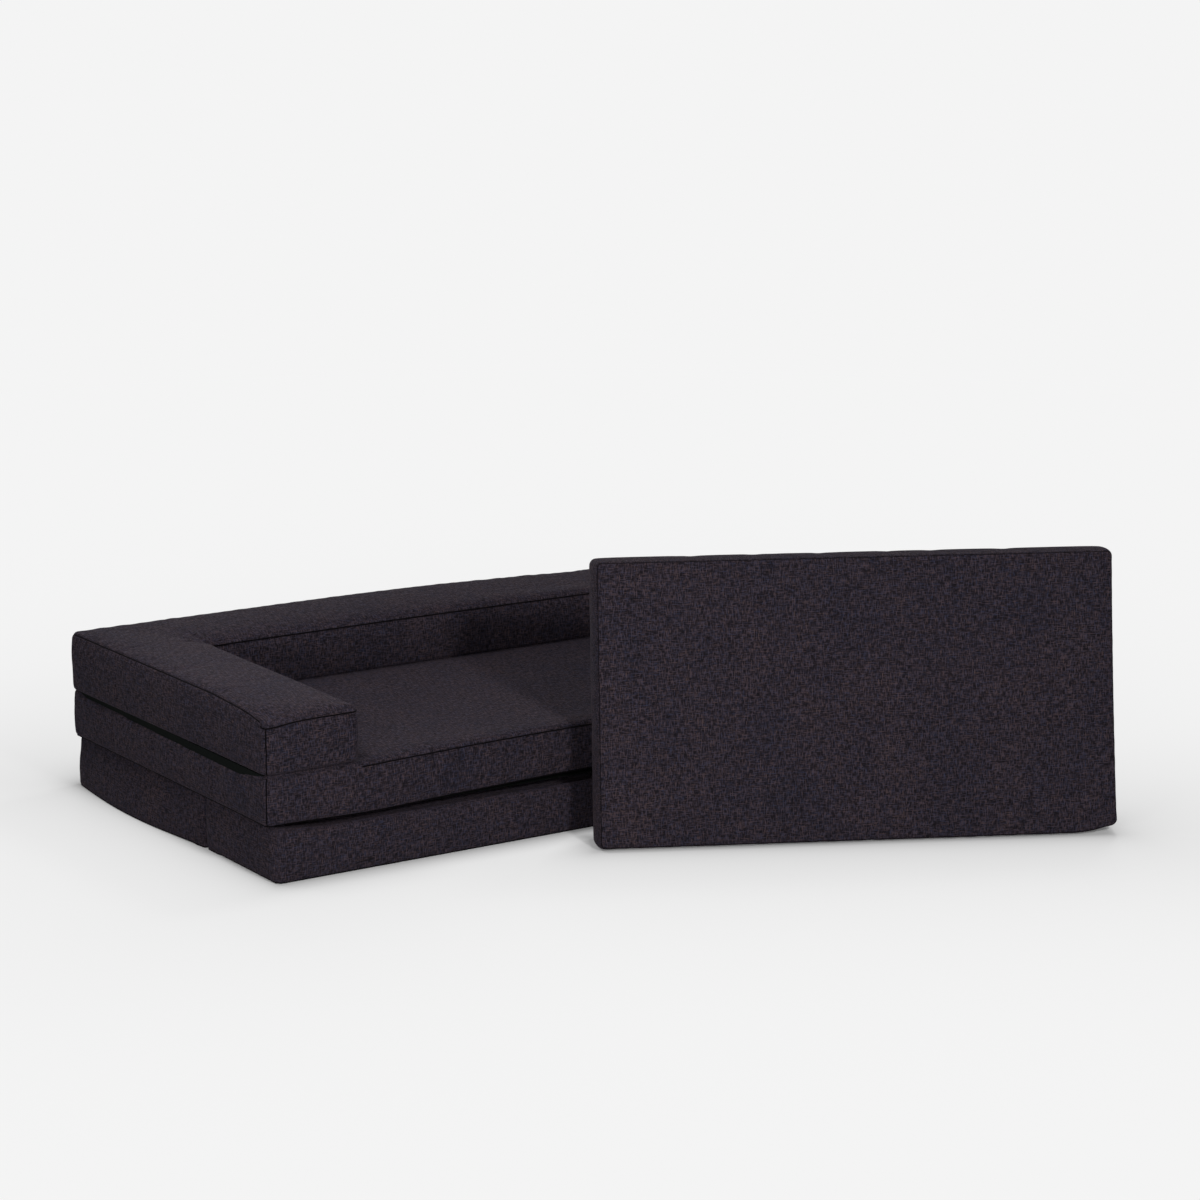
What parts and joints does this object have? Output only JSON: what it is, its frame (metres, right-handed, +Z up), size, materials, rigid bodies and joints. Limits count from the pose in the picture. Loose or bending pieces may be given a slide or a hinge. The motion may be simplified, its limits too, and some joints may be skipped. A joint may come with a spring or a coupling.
{
  "type": "folding sofa bed",
  "caption": "Low folding sofa bed of fabric-covered foam: lower blocks unfold from under the seat slab, U-shaped arm and back rail, and a loose back cushion standing in front.",
  "frame": {"origin": "on the floor, under the middle of the lower layer", "axes": "+Z up, -Y towards the front of the seat, +X towards the sitter's left-hand arm seen from behind, the long direction"},
  "size_m": [1.8477, 1.6431, 0.6316],
  "materials": {
    "cover_cloth": "coarse linen-look weave, matt",
    "piping_cloth": "bias-cut cloth over cord, matt",
    "lining_cloth": "smooth tight lining, matt",
    "foam": "open-cell foam, matt",
    "zip_tape": "woven zip tape with coil chain",
    "zip_metal": "dark enamelled zinc"
  },
  "bodies": {
    "cushion": {"cushion_cover": "cover_cloth", "cushion_core": "foam", "cushion_front_piping": "piping_cloth", "cushion_back_piping": "piping_cloth", "cushion_zip": "zip_tape"},
    "seat": {"slab_cover": "cover_cloth", "slab_core": "foam", "slab_front_seam": "piping_cloth", "left_lining": "lining_cloth", "right_lining": "lining_cloth", "slab_zip": "zip_tape", "rail_cover": "cover_cloth", "left_arm_core": "foam", "right_arm_core": "foam", "back_rail_core": "foam", "rail_top_seam": "piping_cloth", "rail_zip": "zip_tape", "front_crease_strip": "lining_cloth"},
    "lower_blocks": {"base_front_cover": "cover_cloth", "base_front_core": "foam", "base_front_zip": "zip_tape", "base_rear_cover": "cover_cloth", "base_rear_core": "foam", "base_rear_zip": "zip_tape", "middle_crease_strip": "lining_cloth"},
    "cushion_slider": {"cushion_zip_slider": "zip_metal"},
    "slab_slider": {"slab_zip_slider": "zip_metal"},
    "rail_slider": {"rail_zip_slider": "zip_metal"},
    "front_block_slider": {"base_front_zip_slider": "zip_metal"},
    "rear_block_slider": {"base_rear_zip_slider": "zip_metal"}
  },
  "joints": [
    {"name": "seat_back", "type": "slide", "parent": "cushion", "child": "seat", "axis": [0, 0.9925, -0.1224], "range_m": [0, 1.00757]},
    {"name": "blocks_unfold", "type": "hinge", "parent": "seat", "child": "lower_blocks", "pos_m": [0, -0.47115, 0.1238], "axis": [-1, 0, 0], "range_deg": [0, 180]},
    {"name": "cushion_zip_slide", "type": "slide", "parent": "cushion", "child": "cushion_slider", "axis": [0.0645, 0.1311, 0.9893], "range_m": [0, 0.414]},
    {"name": "slab_zip_slide", "type": "slide", "parent": "seat", "child": "slab_slider", "axis": [-1, 0, 0], "range_m": [0, 1.104]},
    {"name": "rail_zip_slide", "type": "slide", "parent": "seat", "child": "rail_slider", "axis": [-1, 0, 0], "range_m": [0, 1.104]},
    {"name": "front_block_zip_slide", "type": "slide", "parent": "lower_blocks", "child": "front_block_slider", "axis": [0, 1, 0], "range_m": [0, 0.174]},
    {"name": "rear_block_zip_slide", "type": "slide", "parent": "lower_blocks", "child": "rear_block_slider", "axis": [-1, 0, 0], "range_m": [0, 1.104]}
  ],
  "couplings": [
    {"joint": "seat_back", "follows": "blocks_unfold", "m_per_rad": 0.32072}
  ]
}
